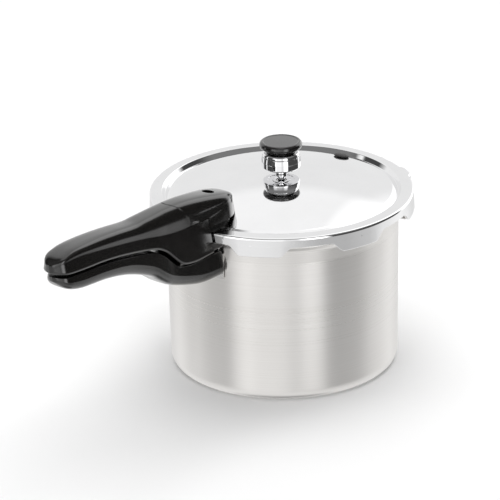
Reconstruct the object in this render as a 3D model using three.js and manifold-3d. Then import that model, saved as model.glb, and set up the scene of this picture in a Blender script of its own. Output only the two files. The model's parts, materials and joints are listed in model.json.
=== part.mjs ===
// Stovetop pressure cooker: aluminium pot and domed cover with bayonet lugs, two phenolic
// handles, a deadweight regulator, a cover lock, and a rack inside.
// Millimetres, +Z up. The origin is the centre of the pot's flat base; +X runs along the handles.
import * as THREE from 'three';
import { mergeVertices } from 'three/addons/utils/BufferGeometryUtils.js';
import Module from 'manifold-3d';

const wasm = await Module();
wasm.setup();

// ---- Driving dimensions ----------------------------------------------------------------
const OVERALL_LENGTH = 438.15;       // cover edge to handle tip
const COVER_R = 123.0;               // cover rim; its lugs bulge to half of 247.65
const OVERALL_HEIGHT = 215.9;        // floor to the top of the regulator knob
const GAP = 0.35;                    // clearance between touching pieces

const POT_R_BASE = 107.6;
const POT_R_TOP = 109.0;
const POT_WALL = 2.4;
const POT_FLOOR = 2.8;
const POT_CORNER = 10;
const FLARE_Z = 150;                 // where the wall starts to flare to the rim
const RIM_R = 114.2;                 // pot rim between its lugs
const POT_LUG_R = 120.2;
const POT_LUG_Z = [154.6, 157.8];
const LIP_Z = 163.2;
const LIP_INNER_R = 111.6;

const LUG_COUNT = 8;
const LUG_PITCH = 360 / LUG_COUNT;
const LUG_PHASE = 29.3;              // degrees from the handle to the first lug centre
const COVER_SHEET = 2.1;
const COVER_TOP_Z = 169.0;           // flat top of the cover rim
const SKIRT_Z = 159.5;               // skirt edge between lugs
const COVER_LUG_Z = 150.5;           // lower edge of the cover lugs
const COVER_LUG_INNER_R = 114.8;
const COVER_LUG_BULGE = 0.8;
const EAR_TURN = 147.5;              // small pressed ear on the cover rim
const EAR_REACH = 3.2;
const GROOVE_Z = 164.6;
const DOME_TOP_Z = 184;
const DOME_FOOT_R = 104;
const DOME_R = 336;                  // radius of curvature of the dome

const TIP_X = OVERALL_LENGTH - COVER_R;
const HEEL_R = COVER_R + 2.2;        // inner face of the upper handle's heel
const HEAD_FLOOR_Z = 174.5;          // underside of the handle head above the cover rim
const HEAD_END_X = 75;
const HEAD_ROUND_X = 108;
const CAP_SEAM_X = 163;
const CAP_SEAM_HALF = 17;            // the seam is an ellipse in plan
const CAP_SEAM_RUN = 23;
const CAP_SPLIT_Z = 183.3;
const CAP_WALL = 3;

const LOCK_X = 103;                  // cover lock pin, on the handle's centre line
const VENT_R = 3.4;
const PLUG_R = 91;                   // overpressure plug, opposite the handle

const deg = THREE.MathUtils.degToRad;
const domeZ = (r) => DOME_TOP_Z - (r * r) / (2 * DOME_R);

// ---- Geometry helpers ------------------------------------------------------------------

// Cleans a geometry to positions and an index with no slivers, and turns it to face outward.
function closed(geometry) {
  let g = geometry.clone();
  for (const name of Object.keys(g.attributes)) if (name !== 'position') g.deleteAttribute(name);
  g = mergeVertices(g, 1e-4);
  const source = g.index.array;
  const kept = [];
  for (let i = 0; i < source.length; i += 3) {
    const [a, b, c] = [source[i], source[i + 1], source[i + 2]];
    if (a !== b && b !== c && c !== a) kept.push(a, b, c);
  }
  const p = g.attributes.position;
  const corners = [new THREE.Vector3(), new THREE.Vector3(), new THREE.Vector3()];
  let volume = 0;
  for (let i = 0; i < kept.length; i += 3) {
    corners.forEach((corner, k) => corner.fromBufferAttribute(p, kept[i + k]));
    volume += corners[0].dot(corners[1].clone().cross(corners[2]));
  }
  if (volume < 0) {
    for (let i = 0; i < kept.length; i += 3) [kept[i], kept[i + 1]] = [kept[i + 1], kept[i]];
  }
  g.setIndex(kept);
  return g;
}

function toSolid(geometry) {
  const g = closed(geometry);
  const vertProperties = new Float32Array(g.attributes.position.array);
  const triVerts = new Uint32Array(g.index.array);
  return new wasm.Manifold(new wasm.Mesh({ numProp: 3, vertProperties, triVerts }));
}

function toGeometry(solid) {
  const mesh = solid.getMesh();
  const g = new THREE.BufferGeometry();
  g.setAttribute('position', new THREE.BufferAttribute(new Float32Array(mesh.vertProperties), 3));
  g.setIndex(new THREE.BufferAttribute(new Uint32Array(mesh.triVerts), 1));
  return g;
}

const union = (...parts) => parts.map(toSolid).reduce((a, b) => a.add(b));
const cut = (geometry, ...tools) => (
  toGeometry(tools.reduce((solid, tool) => solid.subtract(toSolid(tool)), toSolid(geometry)))
);
const keep = (geometry, region) => toGeometry(toSolid(geometry).intersect(toSolid(region)));
const join = (...parts) => toGeometry(union(...parts));

// Joins a list of point rings of equal length; ends close with caps or onto the first ring.
function skin(rings, { loop = false } = {}) {
  const size = rings[0].length;
  const positions = rings.flat().flatMap((v) => [v.x, v.y, v.z]);
  const index = [];
  const spans = loop ? rings.length : rings.length - 1;
  for (let i = 0; i < spans; i += 1) {
    const next = (i + 1) % rings.length;
    for (let j = 0; j < size; j += 1) {
      const k = (j + 1) % size;
      const [a, b] = [i * size + j, i * size + k];
      const [c, d] = [next * size + k, next * size + j];
      index.push(a, b, c, a, c, d);
    }
  }
  const g = new THREE.BufferGeometry();
  if (!loop) {
    const outline = rings.capOutline ?? rings[0].map((v) => new THREE.Vector2(v.y, v.z));
    const faces = THREE.ShapeUtils.triangulateShape(outline, []);
    const last = (rings.length - 1) * size;
    for (const [a, b, c] of faces) {
      const flipped = THREE.ShapeUtils.isClockWise(outline);
      index.push(...(flipped ? [a, b, c] : [c, b, a]));
      index.push(...(flipped ? [last + c, last + b, last + a] : [last + a, last + b, last + c]));
    }
  }
  g.setAttribute('position', new THREE.Float32BufferAttribute(positions, 3));
  g.setIndex(index);
  return closed(g);
}

// Revolves a section about Z; the section may change with the angle. Full turn or a sector.
function revolve(section, angles, full = true) {
  const rings = angles.map((angle) => {
    const [c, s] = [Math.cos(deg(angle)), Math.sin(deg(angle))];
    return section(angle).map(([r, z]) => new THREE.Vector3(r * c, r * s, z));
  });
  if (!full) rings.capOutline = section(angles[0]).map(([r, z]) => new THREE.Vector2(r, z));
  return skin(rings, { loop: full });
}

const steps = (from, to, count) => (
  Array.from({ length: count + 1 }, (_, i) => from + ((to - from) * i) / count)
);
const round = (count) => steps(0, 360, count).slice(0, -1);

// Turned piece on the Z axis: [r, z] points from bottom axis to top axis, or a closed loop.
function turned(profile, segments = 16) {
  const isLoop = profile[0][0] > 0;
  const points = profile.map(([r, z]) => new THREE.Vector2(r, z));
  if (isLoop) points.push(points[0].clone());
  const g = new THREE.LatheGeometry(points, segments);
  g.rotateX(Math.PI / 2);
  return closed(g);
}

function rod(radius, fromZ, toZ, segments = 14) {
  return turned([[0, fromZ], [radius, fromZ], [radius, toZ], [0, toZ]], segments);
}

const place = (g, x, y, z = 0) => g.clone().translate(x, y, z);

function block([x0, x1], [y0, y1], [z0, z1]) {
  const g = new THREE.BoxGeometry(x1 - x0, y1 - y0, z1 - z0);
  return g.translate((x0 + x1) / 2, (y0 + y1) / 2, (z0 + z1) / 2);
}

// Plate with an outline in the XZ plane and its thickness along Y.
function platedAcross(outline, halfWidth) {
  const shape = new THREE.Shape(outline.map(([x, z]) => new THREE.Vector2(x, z)));
  const g = new THREE.ExtrudeGeometry(shape, { depth: 2 * halfWidth, bevelEnabled: false });
  return g.rotateX(Math.PI / 2).translate(0, halfWidth, 0);
}

// Smooth curve y(x) through a few points.
function curveThrough(points) {
  const slope = (i) => {
    const [a, b] = [points[Math.max(i - 1, 0)], points[Math.min(i + 1, points.length - 1)]];
    return (b[1] - a[1]) / (b[0] - a[0]);
  };
  return (x) => {
    let i = 0;
    while (i < points.length - 2 && x > points[i + 1][0]) i += 1;
    const [[x0, y0], [x1, y1]] = [points[i], points[i + 1]];
    const t = THREE.MathUtils.clamp((x - x0) / (x1 - x0), 0, 1);
    const h = x1 - x0;
    const [t2, t3] = [t * t, t * t * t];
    return (2 * t3 - 3 * t2 + 1) * y0 + (t3 - 2 * t2 + t) * h * slope(i)
      + (3 * t2 - 2 * t3) * y1 + (t3 - t2) * h * slope(i + 1);
  };
}

// ---- Materials -------------------------------------------------------------------------
const finish = (color, roughness, metalness) => (
  () => new THREE.MeshStandardMaterial({ color, roughness, metalness })
);
const brushed = finish(0xd2d0cd, 0.38, 1);
const polished = finish(0xe6e7e8, 0.08, 1);
const chrome = finish(0xdadcde, 0.06, 1);
const steel = finish(0xb9babb, 0.3, 1);
const phenolic = finish(0x1b1a18, 0.22, 0);
const rubber = finish(0x2b2a29, 0.7, 0);

const cooker = new THREE.Group();

function add(name, geometry, material, parent = cooker) {
  const mesh = new THREE.Mesh(closed(geometry), material());
  mesh.name = name;
  parent.add(mesh);
  return mesh;
}

// ---- Pot ---------------------------------------------------------------------------------

// How far a lug is formed at an angle: 1 on the lug, 0 between lugs, smooth in between.
function lugShare(angle, fullHalf, endHalf) {
  const turn = (((angle - LUG_PHASE) % LUG_PITCH) + LUG_PITCH) % LUG_PITCH;
  const offset = Math.min(turn, LUG_PITCH - turn);
  return 1 - THREE.MathUtils.smoothstep(offset, fullHalf, endHalf);
}

function lugAngles(offsets) {
  return Array.from({ length: LUG_COUNT }, (_, k) => (
    offsets.map((offset) => LUG_PHASE + k * LUG_PITCH + offset)
  )).flat();
}

const potRimFlare = (z) => (z - FLARE_Z) * 0.61;

function potSection(angle) {
  const lugR = THREE.MathUtils.lerp(RIM_R + 0.1, POT_LUG_R, lugShare(angle, 9, 10.5));
  const corner = (r, z, radius) => steps(-90, 0, 3).map((a) => (
    [r - radius + radius * Math.cos(deg(a)), z + radius + radius * Math.sin(deg(a))]
  ));
  const innerCorner = POT_CORNER - POT_WALL;
  return [
    [0, 0],
    ...corner(POT_R_BASE, 0, POT_CORNER),
    [POT_R_TOP, FLARE_Z],
    [POT_R_TOP + potRimFlare(POT_LUG_Z[0]), POT_LUG_Z[0]],
    [lugR, POT_LUG_Z[0]],
    [lugR, POT_LUG_Z[1]],
    [RIM_R, POT_LUG_Z[1] + 0.1],
    [RIM_R, LIP_Z - 0.6],
    [RIM_R - 0.7, LIP_Z],
    [LIP_INNER_R + 0.5, LIP_Z],
    [LIP_INNER_R, LIP_Z - 0.6],
    [LIP_INNER_R, FLARE_Z + 7.7],
    [POT_R_TOP - POT_WALL, FLARE_Z],
    ...corner(POT_R_BASE - POT_WALL, POT_FLOOR, innerCorner).reverse(),
    [0, POT_FLOOR],
  ];
}

const RIVET_TURN = 5.6;               // degrees either side of the handle's centre line
const RIVET_Z = 136.6;
const BRACKET_RIVET_Z = 147.6;
const BRACKET_RIVET_TURN = 6.2;

// A radial rod through the pot wall at an angle and a height.
function radialRod(radius, fromR, toR, turn, z, segments = 16) {
  return rod(radius, fromR, toR, segments).rotateY(Math.PI / 2).rotateZ(deg(turn)).translate(0, 0, z);
}

const potRivetHoles = [-RIVET_TURN, RIVET_TURN].map((turn) => (
  radialRod(2.6, 100, 116, turn, RIVET_Z, 12)
));
const lockRivetHole = radialRod(2.1, 100, 116, BRACKET_RIVET_TURN, BRACKET_RIVET_Z, 12);
const potAngles = lugAngles([-10.5, -9, 0, 9, 10.5, 16.5, 22.5, 28.5]);
add('pot_body', cut(revolve(potSection, potAngles), ...potRivetHoles, lockRivetHole), brushed);

// ---- Upper and lower handle forms --------------------------------------------------------

const upperWidth = curveThrough([
  [70, 17.5], [100, 17.8], [125, 17.6], [145, 17], [170, 16], [200, 14.6], [220, 14.2],
  [250, 14.5], [280, 14.5], [300, 13.4], [316, 11.8],
]);
const upperCrown = curveThrough([
  [75, 187], [78.5, 190.8], [84, 193.9], [92, 196.4], [105, 199.2], [125, 202.6], [146, 205],
  [170, 205.8], [197, 205.2], [212, 204.8], [236, 207.2], [258, 208.9], [280, 209.4], [293, 208.8],
  [303, 206.6], [310, 203.6], [316, 198.5],
]);
const upperShoulder = curveThrough([
  [75, 183.6], [79, 186.6], [86, 188.2], [93, 188.4], [104, 187], [116, 185], [127, 183.6],
  [145, 183.3], [169, 184.2], [185, 187.6], [203, 192.2], [225, 196.2], [248, 199.7], [270, 202.5],
  [287, 203.4], [304, 201.6], [311, 199], [316, 195.5],
]);
const upperBottom = curveThrough([
  [110, 150.4], [125, 150.1], [142, 149.1], [152, 149.6], [161, 151.3], [166.4, 154.6], [173.5, 161.6],
  [180.5, 168.4], [191, 174.6], [204, 178], [215, 180.2], [241, 184.8], [263, 187.4], [282, 188.4],
  [300, 189.2], [310, 190.4], [316, 191.8],
]);
const lowerTop = curveThrough([
  [104, 147.2], [123, 147.1], [142, 146.2], [152, 146.8], [161, 148.6], [166.4, 151.4], [173.5, 158.2],
  [180.5, 165], [191, 171.4], [204, 174.9], [215, 177.1], [241, 181.8], [263, 184.3], [282, 185.4],
  [300, 186.2], [313, 187],
]);
const lowerBottom = curveThrough([
  [104, 121.6], [122, 120.5], [130, 120.7], [138.5, 122], [150, 125], [165, 129.8], [176, 134.6],
  [185, 140.8], [194, 147.8], [205, 153.2], [221, 159.3], [238, 164], [257, 167.2], [272, 168.4],
  [288, 169.8], [300, 173], [307, 177.2], [313, 184],
]);
const lowerWidth = curveThrough([
  [104, 19.6], [111, 19.2], [118, 18.2], [127, 17.2], [145, 16.6], [170, 15.6],
]);

const LOWER_TIP_X = TIP_X - 3.5;

// Share of the full width left by the rounded plan of the tip.
const TIP_RUN = 12;
const TIP_POWER = 2.2;
function tipShare(x, tipX) {
  const past = THREE.MathUtils.clamp((x - (tipX - TIP_RUN)) / TIP_RUN, 0, 0.99);
  return (1 - past ** TIP_POWER) ** (1 / TIP_POWER);
}

function upperHalfWidth(x, inset) {
  const into = THREE.MathUtils.clamp((HEAD_ROUND_X - x) / (HEAD_ROUND_X - HEAD_END_X - inset), 0, 0.999);
  return Math.max((upperWidth(x) - inset) * Math.sqrt(1 - into * into) * tipShare(x, TIP_X), 0.4);
}

const EDGE_R = 2;
const CROWN_POWER = 2 / 2.4;         // a superellipse a little fuller than an ellipse

function upperRing(x, inset, floorZ) {
  const w = upperHalfWidth(x, inset);
  const shoulder = upperShoulder(x) - inset * 0.5;
  const crown = Math.max(upperCrown(x) - inset, shoulder + 0.5);
  const bottom = floorZ ?? Math.min(upperBottom(x), shoulder - 2.5);
  const edge = Math.min(EDGE_R, w * 0.4);
  const top = steps(0, 180, 8).map((a) => {
    const [c, s] = [Math.cos(deg(a)), Math.sin(deg(a))];
    return [w * Math.sign(c) * Math.abs(c) ** CROWN_POWER, shoulder + (crown - shoulder) * s ** CROWN_POWER];
  });
  const outline = [
    ...top,
    [-w, bottom + edge], [-w + edge, bottom], [w - edge, bottom], [w, bottom + edge],
  ];
  return outline.map(([y, z]) => new THREE.Vector3(x, y, z));
}

const HEAD_STATIONS = [74.2, 76.5, 80, 86, 94, 104];
const GRIP_STATIONS = [
  118, 132, 145, 155, 161, 167, 173.5, 180.5, 190, 204, 220, 240, 262, 284, 298, 305, 309, 312, 314,
];

// Upper handle's outer form, or a form a wall's thickness inside it, between two stations.
function upperLoft({ inset = 0, floorZ, from = HEAD_END_X + inset, to = TIP_X } = {}) {
  const between = [...HEAD_STATIONS.map((x) => x + inset), ...GRIP_STATIONS]
    .filter((x) => x > from + 0.5 && x < to - 0.5);
  return skin([from, ...between, to].map((x) => upperRing(x, inset, floorZ)));
}

function lowerRing(x) {
  const full = x < 145 ? lowerWidth(x) : upperWidth(x) - 0.4;
  const w = full * tipShare(x, LOWER_TIP_X);
  const [top, low] = [lowerTop(x), Math.min(lowerBottom(x), lowerTop(x) - 2)];
  const belly = Math.min(11, (top - low) * 0.6);
  const edge = Math.min(1.5, w * 0.4, (top - low) * 0.3);
  const under = steps(0, 180, 8).map((a) => {
    const [c, s] = [Math.cos(deg(a)), Math.sin(deg(a))];
    return [w * Math.sign(c) * Math.abs(c) ** 0.55, low + belly - belly * s ** 0.75];
  });
  const outline = [...under, [-w, top - edge], [-w + edge, top], [w - edge, top], [w, top - edge]];
  return outline.map(([y, z]) => new THREE.Vector3(x, y, z));
}

// ---- Lower handle and its fixings --------------------------------------------------------

const PLATE_IN_R = POT_R_TOP + 0.4;
const PLATE_OUT_R = PLATE_IN_R + 1.5;
const PLATE_Z = [119.6, 144];
const TONGUE_Z = [130.8, 132.6];
const LOWER_SCREW_X = 134;

const LOWER_STATIONS = [
  106, 113, 119, 127, 138, 149, 158, 164, 170, 176, 184, 193, 205, 222, 240, 260, 280, 292, 299,
  304, 308, 310.5,
];
const tongueSlot = block([104, 151], [-10.4, 10.4], [TONGUE_Z[0] - GAP, TONGUE_Z[1] + GAP]);
const lowerHandle = cut(
  skin([...LOWER_STATIONS, LOWER_TIP_X].map(lowerRing)),
  rod(PLATE_OUT_R + GAP, 100, 170, 120),
  tongueSlot,
  place(rod(2.6, 120, 140), LOWER_SCREW_X, 0),
  place(rod(5.4, 110, 127.4), LOWER_SCREW_X, 0),
  ...[-RIVET_TURN, RIVET_TURN].map((turn) => radialRod(4.6, 100, 115, turn, RIVET_Z)),
);
add('body_handle', lowerHandle, phenolic);

const plateSection = () => [
  [PLATE_IN_R, PLATE_Z[0]], [PLATE_OUT_R, PLATE_Z[0]], [PLATE_OUT_R, PLATE_Z[1]], [PLATE_IN_R, PLATE_Z[1]],
];
const lowerBracket = cut(
  join(
    revolve(plateSection, steps(-10, 10, 8), false),
    block([PLATE_IN_R + 0.4, 150], [-10, 10], TONGUE_Z),
  ),
  place(rod(2.5, 120, 141), LOWER_SCREW_X, 0),
  ...[-RIVET_TURN, RIVET_TURN].map((turn) => radialRod(2.6, 100, 116, turn, RIVET_Z, 12)),
);
add('body_handle_bracket', lowerBracket, steel);

// Rivet along +Z: shank between a domed head and a flat head.
function rivet(shankR, headR, fromZ, toZ, headH) {
  return turned([
    [0, fromZ - headH], [headR * 0.7, fromZ - headH * 0.8], [headR, fromZ - 0.2], [headR, fromZ],
    [shankR, fromZ], [shankR, toZ], [headR, toZ], [headR, toZ + headH * 0.5],
    [headR * 0.7, toZ + headH], [0, toZ + headH],
  ], 12);
}

const POT_INNER_R = POT_R_TOP - POT_WALL - 0.1;
['left', 'right'].forEach((side, i) => {
  const turn = i === 0 ? RIVET_TURN : -RIVET_TURN;
  const g = rivet(2.2, 4, POT_INNER_R - GAP - 0.2, PLATE_OUT_R + 0.3, 1.6);
  add(`body_handle_rivet_${side}`, g.rotateY(Math.PI / 2).rotateZ(deg(turn)).translate(0, 0, RIVET_Z), steel);
});

// Screw along +Z with its head at the bottom and a cross slot in the head.
function screw(headR, headH, shankR, headZ, topZ) {
  const body = turned([
    [0, headZ], [headR * 0.7, headZ], [headR, headZ + headH * 0.45], [headR, headZ + headH],
    [shankR, headZ + headH], [shankR, topZ - 1.2], [shankR * 0.4, topZ], [0, topZ],
  ], 14);
  const arm = [-headR * 0.55, headR * 0.55];
  const slit = [-0.55, 0.55];
  const depth = [headZ - 1, headZ + headH * 0.5];
  return cut(body, join(block(arm, slit, depth), block(slit, arm, depth)));
}

add('body_handle_screw', place(screw(4.6, 2.6, 2.1, 122.8, 139), LOWER_SCREW_X, 0), steel);
const lowerWasher = turned([[2.5, 125.8], [4.9, 125.8], [4.9, 126.9], [2.5, 126.9]]);
add('body_handle_washer', place(lowerWasher, LOWER_SCREW_X, 0), steel);

// ---- Keyhole bracket inside the rim, which holds the risen lock pin ------------------------

const KEY_Z = [156, 157.2];
const LEG_TURN = [3.5, 9];            // the leg stands clear of the pin's path
const legIn = (z) => POT_R_TOP - POT_WALL - 1.6 + Math.max(potRimFlare(z) - 0.3, 0);
const legSection = () => [
  [legIn(FLARE_Z), 143.6], [legIn(FLARE_Z), FLARE_Z], [legIn(KEY_Z[0]), KEY_Z[0]],
  [legIn(KEY_Z[1]), KEY_Z[1]], [legIn(KEY_Z[1]) + 1.3, KEY_Z[1]], [legIn(KEY_Z[0]) + 1.3, KEY_Z[0]],
  [legIn(FLARE_Z) + 1.2, FLARE_Z], [legIn(FLARE_Z) + 1.2, 143.6],
];
const keySection = () => [
  [98, KEY_Z[0]], [legIn(KEY_Z[0]) + 0.8, KEY_Z[0]],
  [legIn(KEY_Z[0]) + 0.8, KEY_Z[1]], [98, KEY_Z[1]],
];
const slotSection = () => [
  [LOCK_X - 2.1, KEY_Z[0] - 1], [LOCK_X + 2.1, KEY_Z[0] - 1],
  [LOCK_X + 2.1, KEY_Z[1] + 1], [LOCK_X - 2.1, KEY_Z[1] + 1],
];
const lockBracket = cut(
  join(
    revolve(legSection, steps(LEG_TURN[0], LEG_TURN[1], 2), false),
    revolve(keySection, steps(-11, LEG_TURN[1], 7), false),
  ),
  place(rod(3.8, KEY_Z[0] - 1, KEY_Z[1] + 1, 20), LOCK_X, 0),
  revolve(slotSection, steps(-13, 0, 6), false),
  lockRivetHole,
);
add('lock_bracket', lockBracket, steel);
const lockRivet = rivet(1.8, 2.9, legIn(FLARE_Z) - 0.3, POT_R_TOP + 0.3, 1);
lockRivet.rotateY(Math.PI / 2).rotateZ(deg(BRACKET_RIVET_TURN)).translate(0, 0, BRACKET_RIVET_Z);
add('lock_bracket_rivet', lockRivet, steel);

// ---- Cooking rack ------------------------------------------------------------------------

const RACK_Z = 12;
const rackPlate = turned([
  [0, RACK_Z], [93.6, RACK_Z], [94.2, POT_FLOOR + 0.3], [95.6, POT_FLOOR + 0.3], [96, RACK_Z - 0.2],
  [98.6, RACK_Z + 0.4], [98.6, RACK_Z + 1.4], [95.6, RACK_Z + 1.2], [0, RACK_Z + 1.2],
], 40);
const rackHoles = [[0, 1], [38, 6], [70, 12]].flatMap(([ring, count]) => (
  round(count).map((a) => {
    const hole = rod(6.5, RACK_Z - 2, RACK_Z + 3, 8);
    return place(hole, ring * Math.cos(deg(a)), ring * Math.sin(deg(a)));
  })
));
add('cooking_rack', cut(rackPlate, ...rackHoles), brushed);

// ---- Cover -------------------------------------------------------------------------------

const SKIRT_IN_R = COVER_R - COVER_SHEET;
const GROOVE_OUT_R = 108.7;
const STEP_R = 112.1;                // inner edge of the flat rim

function coverSection(angle) {
  const lug = lugShare(angle, 8.2, 14.3);
  const curl = lugShare(angle, 8.2, 9.8);
  const ear = 1 - THREE.MathUtils.smoothstep(Math.abs((angle % 360) - EAR_TURN), 3, 6.5);
  const earR = COVER_R + EAR_REACH * ear;
  const mix = (plain, formed, share = lug) => THREE.MathUtils.lerp(plain, formed, share);
  const outR = COVER_R + COVER_LUG_BULGE * lug;
  const edgeZ = mix(SKIRT_Z, COVER_LUG_Z);
  const domeTop = [VENT_R + 0.3, 40, 75, DOME_FOOT_R].map((r) => [r, domeZ(r)]);
  const domeUnder = [DOME_FOOT_R - 1.6, 74, 40, VENT_R + 0.3].map((r) => [r, domeZ(r) - COVER_SHEET]);
  return [
    ...domeTop,
    [DOME_FOOT_R + 1.7, GROOVE_Z + 1], [DOME_FOOT_R + 3.1, GROOVE_Z], [GROOVE_OUT_R, GROOVE_Z],
    [STEP_R - 0.9, COVER_TOP_Z - 0.6], [STEP_R, COVER_TOP_Z], [earR - 3.6, COVER_TOP_Z],
    [earR - 1.1, COVER_TOP_Z - 0.9], [earR, COVER_TOP_Z - 3.4], [earR, COVER_TOP_Z - 5.6],
    [COVER_R, COVER_TOP_Z - 8.4], [outR, edgeZ + 0.9], [outR - 0.8, edgeZ],
    [mix(SKIRT_IN_R + 0.5, COVER_LUG_INNER_R, curl), edgeZ],
    [mix(SKIRT_IN_R, COVER_LUG_INNER_R, curl), mix(edgeZ + 0.5, COVER_LUG_Z + 2, curl)],
    [SKIRT_IN_R, mix(edgeZ + 1, COVER_LUG_Z + 2.1, curl)],
    [SKIRT_IN_R, COVER_TOP_Z - 3.6], [SKIRT_IN_R - 1.4, COVER_TOP_Z - COVER_SHEET],
    [STEP_R + 0.6, COVER_TOP_Z - COVER_SHEET], [GROOVE_OUT_R + 1.5, GROOVE_Z - 1.2],
    [GROOVE_OUT_R + 0.5, GROOVE_Z - 2], [DOME_FOOT_R + 2.1, GROOVE_Z - 2],
    ...domeUnder,
  ];
}

// The cover with everything on it is one body, seen from the group that holds it.
const coverGroup = new THREE.Group();
cooker.add(coverGroup);

const plugTilt = Math.asin(PLUG_R / DOME_R);
const placePlug = (g) => g.rotateY(-plugTilt).translate(-PLUG_R, 0, domeZ(PLUG_R));
const BUSHING_R = 3.6;
const STRAP_RIVETS = [[97.5, 9], [97.5, -9]];

const coverAngles = lugAngles([-14.3, -11.25, -9.8, -8.2, 0, 8.2, 9.8, 11.25, 14.3, 22.5]);
const earAngles = [-6.5, -4.7, -3, 0, 3, 4.7, 6.5].map((offset) => EAR_TURN + offset);
const turnOrder = (angle) => (angle + 360) % 360;
const cover = cut(
  revolve(coverSection, [...coverAngles, ...earAngles].map(turnOrder).sort((a, b) => a - b)),
  placePlug(rod(4.2, -8, 8, 14)),
  place(rod(BUSHING_R + GAP, 150, 190, 16), LOCK_X, 0),
  ...STRAP_RIVETS.map(([x, y]) => place(rod(2.15, 150, 190, 12), x, y)),
);
add('cover', cover, polished, coverGroup);

const ring = turned([
  [LIP_INNER_R, LIP_Z + GAP], [COVER_R - 2.9, LIP_Z + GAP], [COVER_R - 2.9, LIP_Z + 1.4],
  [COVER_R - 3.9, COVER_TOP_Z - COVER_SHEET - GAP], [STEP_R + 1.6, COVER_TOP_Z - COVER_SHEET - GAP],
], 64);
add('sealing_ring', ring, rubber, coverGroup);

const plug = placePlug(turned([
  [0, -5.4], [3, -5.4], [6, -4.2], [6, -2.6], [3.8, -2.5], [3.8, 0.5], [7.4, 0.5], [7.4, 1.3],
  [6, 2.5], [3.4, 3.2], [0, 3.4],
]));
add('overpressure_plug', plug, rubber, coverGroup);

// ---- Vent pipe ---------------------------------------------------------------------------

const PIPE_TOP_Z = 199;
const PIPE_BORE_R = 1.3;
const ventPipe = turned([
  [PIPE_BORE_R, 172], [2.7, 172], [VENT_R, 173], [VENT_R, DOME_TOP_Z + 0.4], [5.6, DOME_TOP_Z + 0.4],
  [5.6, DOME_TOP_Z + 2.4], [VENT_R, DOME_TOP_Z + 2.8], [VENT_R, 196.4], [2, PIPE_TOP_Z],
  [PIPE_BORE_R, PIPE_TOP_Z],
]);
add('vent_pipe', ventPipe, chrome, coverGroup);
const washerZ = DOME_TOP_Z - COVER_SHEET - 0.4;
const ventWasher = turned([
  [VENT_R + 0.3, washerZ - 1.2], [7, washerZ - 1.2], [7, washerZ], [VENT_R + 0.3, washerZ],
]);
add('vent_pipe_washer', ventWasher, rubber, coverGroup);

// Hexagon nut on the Z axis.
function hexNut(boreR, acrossCornersR, fromZ, toZ) {
  return cut(
    new THREE.CylinderGeometry(acrossCornersR, acrossCornersR, toZ - fromZ, 6)
      .rotateX(Math.PI / 2).translate(0, 0, (fromZ + toZ) / 2),
    rod(boreR, fromZ - 1, toZ + 1),
  );
}
add('vent_pipe_nut', hexNut(VENT_R + 0.3, 6.8, washerZ - 5, washerZ - 1.5), steel, coverGroup);

// ---- Upper handle: strap, grip with heel, head cap ------------------------------------------

const STRAP_Z = COVER_TOP_Z + 0.3;
const STRAP_T = 1.6;
const STRAP_INNER_Z = 171.6;
const STRAP_HALF = 13;
const SCREW_XS = [133, 146];
const strapOutline = [
  [93, STRAP_INNER_Z], [107.8, STRAP_INNER_Z], [111.6, STRAP_Z], [152, STRAP_Z],
  [152, STRAP_Z + STRAP_T], [112.2, STRAP_Z + STRAP_T], [108.4, STRAP_INNER_Z + STRAP_T],
  [93, STRAP_INNER_Z + STRAP_T],
];
const strap = cut(
  platedAcross(strapOutline, STRAP_HALF),
  place(rod(BUSHING_R + GAP, 160, 180, 16), LOCK_X, 0),
  ...STRAP_RIVETS.map(([x, y]) => place(rod(2.15, 160, 180, 12), x, y)),
  ...SCREW_XS.map((x) => place(rod(2.4, 160, 180, 12), x, 0)),
);
add('cover_handle_bracket', strap, steel, coverGroup);
['left', 'right'].forEach((side, i) => {
  const [x, y] = STRAP_RIVETS[i];
  const g = rivet(1.8, 3, 166.4, STRAP_INNER_Z + STRAP_T + 0.3, 1.3);
  add(`cover_bracket_rivet_${side}`, place(g, x, y), steel, coverGroup);
});

const domeMeetsFloorR = Math.sqrt(2 * DOME_R * (DOME_TOP_Z + 1 - HEAD_FLOOR_Z));
const clearOfCover = turned([
  [0, 120], [HEEL_R, 120], [HEEL_R, HEAD_FLOOR_Z],
  ...steps(domeMeetsFloorR, 56, 4).map((r) => [r, domeZ(r) + 1]), [0, domeZ(56) + 1],
], 120);
const upperForm = cut(upperLoft(), clearOfCover);

// Region of the head cap: above the split up to a round seam, and all of it over the cover.
function capRegion(grow) {
  const seamCentre = CAP_SEAM_X - CAP_SEAM_RUN;
  const stretch = CAP_SEAM_RUN / CAP_SEAM_HALF;
  const above = [CAP_SPLIT_Z - grow, CAP_SPLIT_Z + 60];
  return join(
    block([40, seamCentre], [-30, 30], above),
    place(rod(CAP_SEAM_HALF + grow, ...above, 40).scale(stretch, 1, 1), seamCentre, 0),
    rod(HEEL_R - GAP + grow, 150, CAP_SPLIT_Z + 4, 120),
  );
}

const TONGUE_FLOOR_Z = 174;
const headHole = place(rod(5.6, 180, 220, 20), LOCK_X + 2, 0);
const headCap = cut(
  keep(upperForm, capRegion(0)),
  upperLoft({ inset: CAP_WALL, floorZ: 150, to: CAP_SEAM_X + 1.5 }),
  headHole,
);
add('cover_handle_head', headCap, phenolic, coverGroup);

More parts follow.
